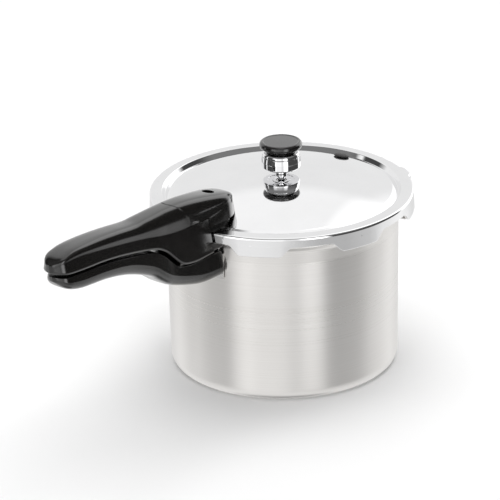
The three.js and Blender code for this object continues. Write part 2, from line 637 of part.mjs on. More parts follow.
const grip = cut(
  join(
    cut(upperForm, capRegion(GAP)),
    upperLoft({ inset: CAP_WALL + GAP, floorZ: TONGUE_FLOOR_Z, from: 113, to: CAP_SEAM_X + 3 }),
  ),
  block([100, 153], [-STRAP_HALF - GAP, STRAP_HALF + GAP], [STRAP_Z - GAP, STRAP_Z + STRAP_T + GAP]),
  ...SCREW_XS.map((x) => place(rod(2.4, 140, 186, 16), x, 0)),
  ...SCREW_XS.map((x) => place(rod(5, 140, 154.4, 20), x, 0)),
);
add('cover_handle_grip', grip, phenolic, coverGroup);
['front', 'rear'].forEach((end, i) => {
  const longScrew = place(screw(4.4, 2.6, 2, 151.4, 184.5), SCREW_XS[i], 0);
  add(`cover_handle_screw_${end}`, longScrew, steel, coverGroup);
});

// ---- Cover lock: bushing, nut, floating pin and its gasket ----------------------------------

const BUSHING_Z = 160;
const BUSHING_TOP_Z = 178;
const bushing = turned([
  [1.9, BUSHING_Z], [BUSHING_R, BUSHING_Z], [BUSHING_R, 173.6], [5.8, 173.6], [5.8, 175.4],
  [BUSHING_R, 175.6], [BUSHING_R - 0.4, BUSHING_TOP_Z], [1.9, BUSHING_TOP_Z],
]);
add('cover_lock_bushing', place(bushing, LOCK_X, 0), steel, coverGroup);
const lockNut = hexNut(BUSHING_R + 0.3, 6.2, BUSHING_Z + 0.1, GROOVE_Z - 2.4);
add('cover_lock_nut', place(lockNut, LOCK_X, 0), steel, coverGroup);

const lockGroup = new THREE.Group();
lockGroup.position.set(LOCK_X, 0, 0);
coverGroup.add(lockGroup);
const lockPin = turned([
  [0, 151.6], [2.4, 151.6], [3, 152], [3, 153.1], [1.5, 153.1], [1.5, BUSHING_TOP_Z + 0.3],
  [2.7, BUSHING_TOP_Z + 0.3], [2.7, 180.4], [1.6, 181.2], [0, 181.2],
]);
add('cover_lock_pin', lockPin, steel, lockGroup);
const lockGasket = turned([[1.8, 153.4], [3.2, 153.4], [3.2, 155.2], [2.8, 155.7], [1.8, 155.7]]);
add('cover_lock_gasket', lockGasket, rubber, lockGroup);

// ---- Pressure regulator ------------------------------------------------------------------

const regulator = new THREE.Group();
cooker.add(regulator);
const SKIRT_BASE_Z = 190.6;
const SEAM_Z = 201.8;
const WEIGHT_TOP_Z = 205.3;
const BORE_R = 5.2;
add('regulator_skirt', turned([
  [BORE_R, SKIRT_BASE_Z + 1], [8.6, SKIRT_BASE_Z + 0.2], [9, SKIRT_BASE_Z + 1], [12.6, SKIRT_BASE_Z + 0.7],
  [13, SKIRT_BASE_Z], [17.6, SKIRT_BASE_Z], [18.3, SKIRT_BASE_Z + 0.7], [18.3, SKIRT_BASE_Z + 6.4],
  [17.9, SEAM_Z - 0.6], [17.2, SEAM_Z - 0.2], [BORE_R, SEAM_Z - 0.2],
], 28), chrome, regulator);
add('regulator_upper_body', turned([
  [3.4, SEAM_Z + 0.15], [16.9, SEAM_Z + 0.15], [17.5, SEAM_Z + 0.7], [16.9, WEIGHT_TOP_Z - 0.7],
  [16.2, WEIGHT_TOP_Z], [3.4, WEIGHT_TOP_Z],
], 28), chrome, regulator);
add('regulator_seat', turned([
  [0, PIPE_TOP_Z + 0.3], [4.8, PIPE_TOP_Z + 0.3], [4.8, SEAM_Z - 0.3], [0, SEAM_Z - 0.3],
]), steel, regulator);
add('regulator_clip', turned([
  [VENT_R + 0.4, 193.2], [BORE_R - 0.3, 192.8], [BORE_R - 0.3, 194.6], [VENT_R + 0.4, 194.2],
]), steel, regulator);
add('regulator_stud', turned([
  [0, SEAM_Z], [3, SEAM_Z], [3, 212], [0, 212],
]), steel, regulator);
const knobBase = WEIGHT_TOP_Z + 0.3;
add('regulator_knob', turned([
  [3.4, knobBase], [13.6, knobBase], [14.2, knobBase + 2], [17, knobBase + 3.4], [19.4, knobBase + 4.8],
  [20, knobBase + 6.4], [19.8, OVERALL_HEIGHT - 2], [18.6, OVERALL_HEIGHT - 0.6],
  [16.8, OVERALL_HEIGHT], [15.6, OVERALL_HEIGHT - 0.5], [0, OVERALL_HEIGHT - 0.5],
  [0, 212.3], [3.4, 212.3],
], 28), phenolic, regulator);

export default cooker;
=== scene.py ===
"""Looks of a stovetop pressure cooker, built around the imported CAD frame.

Lengths in this script are millimetres, turned into metres where meshes are made.
+X runs along the handles, +Z is up, and the origin is the middle of the pot's base.
"""
import json
import math

import bmesh
import bpy
from mathutils import Matrix, Vector


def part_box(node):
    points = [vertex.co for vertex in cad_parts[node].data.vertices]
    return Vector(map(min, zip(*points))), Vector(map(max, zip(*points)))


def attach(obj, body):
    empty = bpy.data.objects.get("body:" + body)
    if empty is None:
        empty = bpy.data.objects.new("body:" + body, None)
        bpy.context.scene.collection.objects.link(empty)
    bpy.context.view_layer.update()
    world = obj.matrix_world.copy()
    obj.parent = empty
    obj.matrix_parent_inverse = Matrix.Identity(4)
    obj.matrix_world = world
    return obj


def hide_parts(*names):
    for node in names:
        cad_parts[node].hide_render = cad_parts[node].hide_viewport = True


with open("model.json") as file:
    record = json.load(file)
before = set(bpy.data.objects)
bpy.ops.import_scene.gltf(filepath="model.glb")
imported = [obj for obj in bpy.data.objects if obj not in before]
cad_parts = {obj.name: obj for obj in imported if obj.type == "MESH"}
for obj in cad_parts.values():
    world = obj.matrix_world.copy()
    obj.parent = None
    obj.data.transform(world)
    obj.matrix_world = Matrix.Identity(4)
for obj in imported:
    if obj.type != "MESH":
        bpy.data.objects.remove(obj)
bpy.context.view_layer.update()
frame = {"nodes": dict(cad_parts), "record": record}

MM = 0.001

# ---- Camera ----------------------------------------------------------------------------
CAMERA_DISTANCE = 2800
CAMERA_AIM_Z = 100
CAMERA_AZIMUTH = 39.3
CAMERA_ELEVATION = 23.03
CAMERA_LENS = 214.4
CAMERA_TURN = (0.629, 0.126, 1.076)      # yaw, pitch and roll off the aim, degrees


def make_camera():
    azimuth, elevation = math.radians(CAMERA_AZIMUTH), math.radians(CAMERA_ELEVATION)
    back = Vector((math.cos(azimuth) * math.cos(elevation),
                   math.sin(azimuth) * math.cos(elevation), math.sin(elevation)))
    right = Vector((-math.sin(azimuth), math.cos(azimuth), 0))
    up = back.cross(right)
    turn = Matrix((right, up, back)).transposed().to_4x4()
    yaw, pitch, roll = (math.radians(a) for a in CAMERA_TURN)
    place = Matrix.Translation((back * CAMERA_DISTANCE + Vector((0, 0, CAMERA_AIM_Z))) * MM)
    data = bpy.data.cameras.new("camera")
    data.lens = CAMERA_LENS
    data.sensor_width = 36
    data.clip_start, data.clip_end = 0.05, 50
    camera = bpy.data.objects.new("camera", data)
    bpy.context.scene.collection.objects.link(camera)
    camera.matrix_world = (place @ turn @ Matrix.Rotation(yaw, 4, "Y")
                           @ Matrix.Rotation(pitch, 4, "X") @ Matrix.Rotation(-roll, 4, "Z"))
    bpy.context.scene.camera = camera


make_camera()

# ---- Dimensions shared with the CAD frame ------------------------------------------------
LENGTH_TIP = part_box("cover_handle_grip")[1].x / MM
TOP_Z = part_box("regulator_knob")[1].z / MM
COVER_R = 123.0
POT_R_BASE, POT_R_TOP, POT_WALL, POT_FLOOR, POT_CORNER = 107.6, 109.0, 2.4, 2.8, 10.0
FLARE_Z, RIM_R, POT_LUG_R, POT_LUG_Z = 150.0, 114.2, 120.2, (154.6, 157.8)
LIP_Z, LIP_INNER_R = 163.2, 111.6
LUG_PITCH, LUG_PHASE = 45.0, 29.3
COVER_SHEET, COVER_TOP_Z, SKIRT_Z, COVER_LUG_Z = 2.1, 169.0, 159.5, 150.5
COVER_LUG_INNER_R, COVER_LUG_BULGE = 114.8, 0.8
EAR_TURN, EAR_REACH = 147.5, 3.2
GROOVE_Z, GROOVE_OUT_R, STEP_R = 164.6, 108.7, 112.1
DOME_TOP_Z, DOME_FOOT_R, DOME_R = 184.0, 104.0, 336.0
HEEL_R, HEAD_FLOOR_Z = 125.2, 174.5
HEAD_END_X, HEAD_ROUND_X = 75.0, 108.0
CAP_SEAM_X, CAP_SEAM_HALF, CAP_SEAM_RUN, CAP_SPLIT_Z, CAP_WALL = 163.0, 17.0, 23.0, 183.3, 3.0
LOCK_X, VENT_R, PLUG_R, GAP = 103.0, 3.4, 91.0, 0.35
LOWER_SCREW_X, COVER_SCREW_XS = 134.0, (133.0, 146.0)


def dome_z(r):
    return DOME_TOP_Z - r * r / (2 * DOME_R)


# ---- Shader nodes ------------------------------------------------------------------------
def new_material(name):
    material = bpy.data.materials.new(name)
    material.use_nodes = True
    tree = material.node_tree
    return material, tree, tree.nodes["Principled BSDF"]


def node(tree, kind, inputs=None, **settings):
    """A new node with its settings and input values or links."""
    made = tree.nodes.new(kind)
    for key, value in settings.items():
        setattr(made, key, value)
    for key, value in (inputs or {}).items():
        if isinstance(value, bpy.types.NodeSocket):
            tree.links.new(value, made.inputs[key])
        else:
            made.inputs[key].default_value = value
    return made


def maths(tree, operation, *values, clamp=False):
    return node(tree, "ShaderNodeMath", dict(enumerate(values)), operation=operation,
                use_clamp=clamp).outputs[0]


def stretched_noise(tree, scale, stretch, detail=3.0):
    """Noise in object space, stretched differently along x, y and z."""
    coordinates = node(tree, "ShaderNodeTexCoord").outputs["Object"]
    mapping = node(tree, "ShaderNodeMapping", {"Vector": coordinates, "Scale": stretch})
    return node(tree, "ShaderNodeTexNoise", {
        "Vector": mapping.outputs[0], "Scale": scale, "Detail": detail}).outputs["Fac"]


def spread(tree, value, low, high, name="Result"):
    """Maps a 0 to 1 value onto a range."""
    return node(tree, "ShaderNodeMapRange", {
        "Value": value, "To Min": low, "To Max": high}).outputs[name]


def tinted(tree, value, dark, light):
    ramp = node(tree, "ShaderNodeValToRGB", {"Fac": value})
    ramp.color_ramp.elements[0].position = 0.3
    ramp.color_ramp.elements[0].color = (*dark, 1)
    ramp.color_ramp.elements[1].position = 0.7
    ramp.color_ramp.elements[1].color = (*light, 1)
    return ramp.outputs[0]


def bumped(tree, shader, height, strength, distance):
    bump = node(tree, "ShaderNodeBump", {
        "Height": height, "Strength": strength, "Distance": distance})
    tree.links.new(bump.outputs[0], shader.inputs["Normal"])


def ring_lines(tree, scale):
    """Fine turning lines: noise that varies with radius and height only."""
    coordinates = node(tree, "ShaderNodeTexCoord").outputs["Object"]
    parts = node(tree, "ShaderNodeSeparateXYZ", {"Vector": coordinates})
    flat = node(tree, "ShaderNodeCombineXYZ", {
        "X": parts.outputs["X"], "Y": parts.outputs["Y"]}).outputs[0]
    radius = node(tree, "ShaderNodeVectorMath", {0: flat}, operation="LENGTH").outputs["Value"]
    both = node(tree, "ShaderNodeCombineXYZ", {"X": radius, "Y": parts.outputs["Z"]}).outputs[0]
    return node(tree, "ShaderNodeTexNoise", {
        "Vector": both, "Scale": scale, "Detail": 4.0}).outputs["Fac"]


def brushed_pot():
    material, tree, shader = new_material("brushed_aluminium")
    lines = ring_lines(tree, 900.0)
    cloud = stretched_noise(tree, 14.0, (1, 1, 1), 2.0)
    tone = maths(tree, "ADD", maths(tree, "MULTIPLY", lines, 0.6), maths(tree, "MULTIPLY", cloud, 0.4))
    tree.links.new(tinted(tree, tone, (0.80, 0.78, 0.755), (0.88, 0.865, 0.845)),
                   shader.inputs["Base Color"])
    tree.links.new(spread(tree, lines, 0.24, 0.34), shader.inputs["Roughness"])
    bumped(tree, shader, lines, 0.10, 0.0002)
    shader.inputs["Metallic"].default_value = 1
    shader.inputs["Anisotropic"].default_value = 0.72
    shader.inputs["Anisotropic Rotation"].default_value = 0.25
    tangent = node(tree, "ShaderNodeTangent", direction_type="RADIAL", axis="Z")
    tree.links.new(tangent.outputs[0], shader.inputs["Tangent"])
    return material


def polished_metal(name, colour, roughness, line_scale=1400.0, bump=0.02):
    """Buffed metal with faint turning marks and a slight haze."""
    material, tree, shader = new_material(name)
    lines = ring_lines(tree, line_scale)
    haze = stretched_noise(tree, 30.0, (1, 1, 1), 3.0)
    low = tuple(c * 0.965 for c in colour)
    tree.links.new(tinted(tree, haze, low, colour), shader.inputs["Base Color"])
    tree.links.new(spread(tree, haze, roughness * 0.7, roughness * 1.4), shader.inputs["Roughness"])
    bumped(tree, shader, lines, bump, 0.0001)
    shader.inputs["Metallic"].default_value = 1
    return material


def satin_steel(name, colour, roughness):
    material, tree, shader = new_material(name)
    grain = stretched_noise(tree, 220.0, (1, 1, 6), 4.0)
    low = tuple(c * 0.88 for c in colour)
    tree.links.new(tinted(tree, grain, low, colour), shader.inputs["Base Color"])
    tree.links.new(spread(tree, grain, roughness * 0.75, roughness * 1.3), shader.inputs["Roughness"])
    bumped(tree, shader, grain, 0.08, 0.0002)
    shader.inputs["Metallic"].default_value = 1
    return material


def phenolic(name, colour, roughness):
    """Moulded black phenolic: glossy, faintly mottled, with a very light moulding texture."""
    material, tree, shader = new_material(name)
    mottle = stretched_noise(tree, 60.0, (1, 1, 1), 4.0)
    skin = stretched_noise(tree, 420.0, (1, 1, 1), 2.0)
    light = tuple(c * 1.35 for c in colour)
    tree.links.new(tinted(tree, mottle, colour, light), shader.inputs["Base Color"])
    tree.links.new(spread(tree, mottle, roughness * 0.85, roughness * 1.2), shader.inputs["Roughness"])
    bumped(tree, shader, skin, 0.03, 0.0002)
    shader.inputs["IOR"].default_value = 1.52
    shader.inputs["Coat Weight"].default_value = 0.8
    shader.inputs["Coat Roughness"].default_value = 0.12
    return material


def moulded_rubber():
    material, tree, shader = new_material("black_rubber")
    skin = stretched_noise(tree, 260.0, (1, 1, 1), 4.0)
    tree.links.new(tinted(tree, skin, (0.022, 0.021, 0.021), (0.04, 0.038, 0.038)),
                   shader.inputs["Base Color"])
    tree.links.new(spread(tree, skin, 0.42, 0.58), shader.inputs["Roughness"])
    bumped(tree, shader, skin, 0.15, 0.0002)
    return material


MATERIALS = {
    "pot": brushed_pot(),
    "cover": polished_metal("mirror_aluminium", (0.93, 0.93, 0.935), 0.05),
    "rack": satin_steel("satin_aluminium", (0.86, 0.86, 0.855), 0.34),
    "chrome": polished_metal("chrome_plate", (0.90, 0.90, 0.91), 0.035, bump=0.008),
    "steel": satin_steel("satin_steel", (0.70, 0.69, 0.68), 0.26),
    "handle": phenolic("black_phenolic", (0.0042, 0.0037, 0.0032), 0.17),
    "rubber": moulded_rubber(),
}

# ---- Mesh helpers ------------------------------------------------------------------------
SMOOTH_ANGLE = math.radians(38)


def from_bmesh(name, bm):
    bmesh.ops.remove_doubles(bm, verts=bm.verts, dist=1e-7)
    bmesh.ops.dissolve_degenerate(bm, edges=bm.edges, dist=1e-7)
    bmesh.ops.recalc_face_normals(bm, faces=bm.faces)
    mesh = bpy.data.meshes.new(name)
    bm.to_mesh(mesh)
    bm.free()
    piece = bpy.data.objects.new(name, mesh)
    bpy.context.scene.collection.objects.link(piece)
    return piece


def skin(name, rings, loop=False):
    """A closed surface through rings of points; it closes on itself or with a face at each end."""
    bm = bmesh.new()
    rows = [[bm.verts.new(Vector(p) * MM) for p in ring] for ring in rings]
    size = len(rows[0])
    for i in range(len(rows) if loop else len(rows) - 1):
        a, b = rows[i], rows[(i + 1) % len(rows)]
        for j in range(size):
            k = (j + 1) % size
            bm.faces.new((a[j], a[k], b[k], b[j]))
    if not loop:
        bm.faces.new(rows[0])
        bm.faces.new(rows[-1])
    return from_bmesh(name, bm)


def revolve(name, section, angles):
    """A full turn about Z of a closed section, which may change with the angle."""
    rings = []
    for angle in angles:
        c, s = math.cos(math.radians(angle)), math.sin(math.radians(angle))
        rings.append([(r * c, r * s, z) for r, z in section(angle)])
    return skin(name, rings, loop=True)


def rounded(points, radius=0.4, count=4, closed=True):
    """An outline with its corners rounded. A point may carry its own radius as a third value."""
    out = []
    size = len(points)
    for i, point in enumerate(points):
        here = Vector(point[:2])
        wanted = point[2] if len(point) > 2 else radius
        if wanted == 0 or not closed and i in (0, size - 1):
            out.append(tuple(here))
            continue
        before, after = Vector(points[i - 1][:2]), Vector(points[(i + 1) % size][:2])
        u, v = (before - here).normalized(), (after - here).normalized()
        half = max(0.02, math.acos(max(-1.0, min(1.0, u.dot(v)))) / 2)
        run = min(wanted / math.tan(half), (before - here).length * 0.42, (after - here).length * 0.42)
        start, end = here + u * run, here + v * run
        out.append(tuple(here + u * run * 1.15))
        for k in range(count + 1):
            t = k / count
            out.append(tuple(start * (1 - t) ** 2 + here * (2 * t * (1 - t)) + end * t * t))
        out.append(tuple(here + v * run * 1.15))
    return out


def turned(name, profile, radius=0.4, segments=96, count=4):
    """A turned piece on the Z axis from [r, z] points that close on themselves or on the axis."""
    on_axis = profile[0][0] == 0
    outline = rounded(profile, radius, count, closed=not on_axis)
    return revolve(name, lambda angle: outline, [360 * i / segments for i in range(segments)])


def rod(name, radius, low, high, segments=64):
    return turned(name, [(0, low), (radius, low), (radius, high), (0, high)], 0, segments)


def moved(piece, x=0, y=0, z=0, turn=None):
    matrix = Matrix.Translation(Vector((x, y, z)) * MM)
    piece.data.transform(matrix @ turn if turn else matrix)
    return piece


def block(name, xs, ys, zs):
    bm = bmesh.new()
    bmesh.ops.create_cube(bm, size=1)
    for v in bm.verts:
        v.co = Vector((xs[v.co.x > 0], ys[v.co.y > 0], zs[v.co.z > 0])) * MM
    return from_bmesh(name, bm)


def apply_modifiers(piece):
    graph = bpy.context.evaluated_depsgraph_get()
    mesh = bpy.data.meshes.new_from_object(piece.evaluated_get(graph))
    old = piece.data
    piece.modifiers.clear()
    piece.data = mesh
    bpy.data.meshes.remove(old)
    return piece


def combine(piece, others, operation):
    """Cuts, joins or keeps with other pieces, which are used up."""
    for other in others:
        step = piece.modifiers.new(operation.lower(), "BOOLEAN")
        step.operation, step.solver, step.object = operation, "EXACT", other
        bpy.context.view_layer.update()
        apply_modifiers(piece)
        bpy.data.objects.remove(other)
    return piece


def edge_rounded(piece, width, angle=50, segments=2):
    """A small rounding along the sharp edges of a piece."""
    step = piece.modifiers.new("edges", "BEVEL")
    step.width, step.segments = width * MM, segments
    step.limit_method, step.angle_limit = "ANGLE", math.radians(angle)
    step.miter_outer = "MITER_ARC"
    step.use_clamp_overlap = True
    bpy.context.view_layer.update()
    return apply_modifiers(piece)


def finished(piece, body, slot, *nodes):
    """Gives a piece its material, body and slot, and lets it stand for its CAD nodes."""
    piece.data.materials.clear()
    piece.data.materials.append(MATERIALS[slot])
    piece.data.shade_smooth()
    piece.data.set_sharp_from_angle(angle=SMOOTH_ANGLE)
    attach(piece, body)
    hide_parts(*nodes)
    return piece


def curve_through(points):
    """A smooth curve y(x) through a few points."""
    def slope(i):
        a, b = points[max(i - 1, 0)], points[min(i + 1, len(points) - 1)]
        return (b[1] - a[1]) / (b[0] - a[0])

    def at(x):
        i = 0
        while i < len(points) - 2 and x > points[i + 1][0]:
            i += 1
        (x0, y0), (x1, y1) = points[i], points[i + 1]
        h = x1 - x0
        t = max(0.0, min(1.0, (x - x0) / h))
        return ((2 * t**3 - 3 * t**2 + 1) * y0 + (t**3 - 2 * t**2 + t) * h * slope(i)
                + (3 * t**2 - 2 * t**3) * y1 + (t**3 - t**2) * h * slope(i + 1))
    return at


def steps(low, high, count):
    return [low + (high - low) * i / count for i in range(count + 1)]


def blend(low, high, share):
    return low + (high - low) * share


def smooth_share(value, full, end):
    """1 up to full, 0 from end on, and smooth in between."""
    t = max(0.0, min(1.0, (value - full) / (end - full)))
    return 1 - t * t * (3 - 2 * t)


def lug_share(angle, full, end):
    turn = (angle - LUG_PHASE) % LUG_PITCH
    return smooth_share(min(turn, LUG_PITCH - turn), full, end)


FULL_TURN = [LUG_PHASE + 360 * i / 720 for i in range(720)]


def radial(piece, turn, z):
    """Lays a piece made along Z so that it points outward at an angle round the pot."""
    lay = Matrix.Rotation(math.radians(turn), 4, "Z") @ Matrix.Rotation(math.radians(90), 4, "Y")
    return moved(piece, z=z, turn=lay)


# ---- Pot -----------------------------------------------------------------------------------
RIVET_TURN, RIVET_Z = 5.6, 136.6
BRACKET_RIVET_TURN, BRACKET_RIVET_Z = 6.2, 147.6


def pot_section(angle):
    lug_r = blend(RIM_R + 0.1, POT_LUG_R, lug_share(angle, 9, 10.6))
    low, high = POT_LUG_Z
    flare = POT_R_TOP + (low - FLARE_Z) * 0.61
    inner = POT_CORNER - POT_WALL
    outline = [
        (0, 0, 0), (POT_R_BASE, 0, POT_CORNER), (POT_R_TOP - 0.3, FLARE_Z - 12, 20),
        (POT_R_TOP + 0.4, FLARE_Z, 6),
        (flare, low, 0.8), (lug_r, low, 0.5), (lug_r, high, 0.7), (RIM_R, high + 0.1, 0.4),
        (RIM_R, LIP_Z, 0.7), (LIP_INNER_R, LIP_Z, 0.6), (LIP_INNER_R, FLARE_Z + 7.7, 3),
        (POT_R_TOP - POT_WALL, FLARE_Z, 5), (POT_R_BASE - POT_WALL, POT_FLOOR, inner), (0, POT_FLOOR, 0),
    ]
    return rounded(outline, 0.4, 5, closed=False)


def make_pot():
    pot = revolve("pot", pot_section, FULL_TURN)
    holes = [radial(rod("hole", 2.6, 100, 116, 24), turn, RIVET_Z) for turn in (-RIVET_TURN, RIVET_TURN)]
    holes.append(radial(rod("hole", 2.1, 100, 116, 24), BRACKET_RIVET_TURN, BRACKET_RIVET_Z))
    combine(pot, holes, "DIFFERENCE")
    return finished(pot, "pot", "pot", "pot_body")


# ---- Cover ---------------------------------------------------------------------------------
SKIRT_IN_R = COVER_R - COVER_SHEET


def cover_section(angle):
    lug = lug_share(angle, 8.2, 14.3)
    curl = lug_share(angle, 8.2, 9.8)
    out_r = COVER_R + COVER_LUG_BULGE * lug
    edge_z = blend(SKIRT_Z, COVER_LUG_Z, lug)
    ear_r = COVER_R + EAR_REACH * smooth_share(abs(angle % 360 - EAR_TURN), 3, 6.5)
    dome_top = [(r, dome_z(r), 0) for r in steps(VENT_R + 0.3, DOME_FOOT_R - 4, 22)]
    dome_under = [(r, dome_z(r) - COVER_SHEET, 0) for r in steps(DOME_FOOT_R - 4.6, VENT_R + 0.3, 14)]
    outline = [
        *dome_top,
        (DOME_FOOT_R - 0.6, dome_z(DOME_FOOT_R - 0.6), 6), (GROOVE_OUT_R, GROOVE_Z + 0.3, 0.6),
        (STEP_R - 0.4, COVER_TOP_Z + 0.25, 1.0), (ear_r, COVER_TOP_Z - 0.4, 3.6),
        (ear_r + 0.1 * lug, COVER_TOP_Z - 5.6, 1), (COVER_R + 0.25 * lug, COVER_TOP_Z - 8.4, 0.6),
        (out_r, edge_z, 0.9),
        (blend(SKIRT_IN_R, COVER_LUG_INNER_R, curl), edge_z, 0.6),
        (blend(SKIRT_IN_R, COVER_LUG_INNER_R, curl), blend(edge_z + 0.5, COVER_LUG_Z + 2, curl), 0.4),
        (SKIRT_IN_R, blend(edge_z + 1, COVER_LUG_Z + 2.1, curl), 0.6),
        (SKIRT_IN_R, COVER_TOP_Z - COVER_SHEET, 1.4), (STEP_R + 0.6, COVER_TOP_Z - COVER_SHEET, 0.8),
        (GROOVE_OUT_R + 1.0, GROOVE_Z - 2, 0.8), (DOME_FOOT_R + 1.9, GROOVE_Z - 2, 0.8),
        *dome_under,
    ]
    return rounded(outline, 0.4, 5)


def tilted_plug(piece):
    tilt = math.asin(PLUG_R / DOME_R)
    return moved(piece, -PLUG_R, 0, dome_z(PLUG_R), Matrix.Rotation(-tilt, 4, "Y"))


def make_cover():
    cover = revolve("cover_shell", cover_section, FULL_TURN)
    holes = [tilted_plug(rod("hole", 4.2, -8, 8, 40)), moved(rod("hole", 3.95, 150, 190, 40), LOCK_X)]
    holes += [moved(rod("hole", 2.15, 150, 190, 24), 97.5, y) for y in (9, -9)]
    combine(cover, holes, "DIFFERENCE")
    return finished(cover, "cover", "cover", "cover")


# ---- Handles -------------------------------------------------------------------------------
upper_width = curve_through([
    (70, 17.5), (100, 17.8), (125, 17.6), (145, 17), (170, 16), (200, 14.6), (220, 14.2),
    (250, 14.5), (280, 14.5), (300, 13.4), (316, 11.8)])
upper_crown = curve_through([
    (75, 187), (78.5, 190.8), (84, 193.9), (92, 196.4), (105, 199.2), (125, 202.6), (146, 205),
    (170, 205.8), (197, 205.2), (212, 204.8), (236, 207.2), (258, 208.9), (280, 209.4), (293, 208.8),
    (303, 206.6), (310, 203.6), (316, 198.5)])
upper_shoulder = curve_through([
    (75, 183.6), (79, 186.6), (86, 188.2), (93, 188.4), (104, 187), (116, 185), (127, 183.6),
    (145, 183.3), (169, 184.2), (185, 186.4), (203, 189.9), (225, 193.7), (248, 197.2), (270, 200.2),
    (287, 202), (304, 201.6), (311, 199), (316, 195.5)])
upper_bottom = curve_through([
    (110, 150.4), (125, 150.1), (142, 149.1), (152, 149.6), (161, 151.3), (166.4, 154.6), (173.5, 161.6),
    (180.5, 168.4), (191, 174.6), (204, 178), (215, 180.2), (241, 184.8), (263, 187.4), (282, 188.4),
    (300, 189.2), (310, 190.4), (316, 191.8)])
lower_top = curve_through([
    (104, 147.2), (123, 147.1), (142, 146.2), (152, 146.8), (161, 148.6), (166.4, 151.4), (173.5, 158.2),
    (180.5, 165), (191, 171.4), (204, 174.9), (215, 177.1), (241, 181.8), (263, 184.3), (282, 185.4),
    (300, 186.2), (313, 187)])
lower_bottom = curve_through([
    (104, 121.6), (122, 120.5), (130, 120.7), (138.5, 122), (150, 125), (165, 129.8), (176, 134.6),
    (185, 140.8), (194, 147.8), (205, 153.2), (221, 159.3), (238, 164), (257, 167.2), (272, 168.4),
    (288, 169.8), (300, 173), (307, 177.2), (313, 184)])
lower_width = curve_through([(104, 19.6), (111, 19.2), (118, 18.2), (127, 17.2), (145, 16.6), (170, 15.6)])
LOWER_TIP_X = LENGTH_TIP - 3.5
TIP_RUN, TIP_POWER, CROWN_POWER = 12.0, 2.2, 2 / 3.2
DRAFT = math.tan(math.radians(9))        # the moulded sides widen downward


def drafted_widths(w, height, most):
    """Half widths at the top and the foot of a drafted side."""
    lean = min(1.0, w / 8) * DRAFT * height
    top = w - min(most, lean / 2)
    return top, top + lean


def side(x, sign, high, low):
    """Points down a drafted side, held near its ends so that it shades flat."""
    (w0, z0), (w1, z1) = high, low
    hold = min(0.8, (z0 - z1) * 0.2) / (z0 - z1)
    return [(x, sign * blend(w0, w1, t), blend(z0, z1, t)) for t in (hold, 0.5, 1 - hold)]


def tip_share(x, tip_x):
    past = max(0.0, min(0.998, (x - (tip_x - TIP_RUN)) / TIP_RUN))
    return (1 - past**TIP_POWER) ** (1 / TIP_POWER)


def upper_half_width(x, inset):
    into = max(0.0, min(0.9995, (HEAD_ROUND_X - x) / (HEAD_ROUND_X - HEAD_END_X - inset)))
    return max((upper_width(x) - inset) * math.sqrt(1 - into * into) * tip_share(x, LENGTH_TIP), 0.15)


def handle_stations(start, end, tip_x):
    """Stations along a handle: even steps, crowded where the plan rounds off at its ends."""
    middle = steps(start, tip_x - TIP_RUN, 96)
    tip = [tip_x - TIP_RUN + TIP_RUN * math.sin(math.radians(a)) for a in steps(4, 86, 18)]
    return [x for x in middle + tip if start <= x < end] + [end]


def upper_ring(x, inset, floor_z):
    w = upper_half_width(x, inset)
    shoulder = upper_shoulder(x) - inset * 0.5
    crown = max(upper_crown(x) - inset, shoulder + 0.5)
    bottom = floor_z if floor_z is not None else min(upper_bottom(x), shoulder - 2.5)
    edge = min(2.0, w * 0.4)
    top, low = drafted_widths(w, shoulder - bottom, 1.5)
    high_end, low_end = (top, shoulder), (low, bottom + edge)
    ring = []
    for a in steps(0, 180, 48):
        c, s = math.cos(math.radians(a)), math.sin(math.radians(a))
        across = math.copysign(abs(c) ** CROWN_POWER, c)
        ring.append((x, top * across, shoulder + (crown - shoulder) * s**CROWN_POWER))
    ring += side(x, -1, high_end, low_end)
    for a in steps(0, 90, 6):
        c, s = math.cos(math.radians(a)), math.sin(math.radians(a))
        ring.append((x, -low + edge - edge * c, bottom + edge - edge * s))
    for a in steps(90, 0, 6):
        c, s = math.cos(math.radians(a)), math.sin(math.radians(a))
        ring.append((x, low - edge + edge * c, bottom + edge - edge * s))
    return ring + side(x, 1, high_end, low_end)[::-1]


def upper_loft(name, inset=0.0, floor_z=None, start=None, end=None):
    start = HEAD_END_X + inset if start is None else start
    end = LENGTH_TIP if end is None else end
    head = [HEAD_ROUND_X - (HEAD_ROUND_X - HEAD_END_X - inset) * math.cos(math.radians(a))
            for a in steps(1.5, 86, 26)]
    stations = [x for x in head if x > start] + handle_stations(max(start, HEAD_ROUND_X), end, LENGTH_TIP)
    return skin(name, [upper_ring(x, inset, floor_z) for x in sorted({start, *stations})])


def clear_of_cover(name):
    meets = math.sqrt(2 * DOME_R * (DOME_TOP_Z + 1 - HEAD_FLOOR_Z))
    profile = [(0, 120), (HEEL_R, 120), (HEEL_R, HEAD_FLOOR_Z)]
    profile += [(r, dome_z(r) + 1) for r in steps(meets, 56, 10)]
    return turned(name, [*profile, (0, dome_z(56) + 1)], 0, 360)


def cap_region(name, grow):
    """Above the split up to an elliptical seam, and everything over the cover."""
    centre = CAP_SEAM_X - CAP_SEAM_RUN
    low, high = CAP_SPLIT_Z - grow, CAP_SPLIT_Z + 60
    over = rod(name, HEEL_R - GAP + grow, 150, CAP_SPLIT_Z + 4, 360)
    seam = rod("seam", CAP_SEAM_HALF + grow, low, high, 160)
    seam.data.transform(Matrix.Scale(CAP_SEAM_RUN / CAP_SEAM_HALF, 4, Vector((1, 0, 0))))
    return combine(over, [block("wide", (40, centre), (-30, 30), (low, high)), moved(seam, centre)], "UNION")


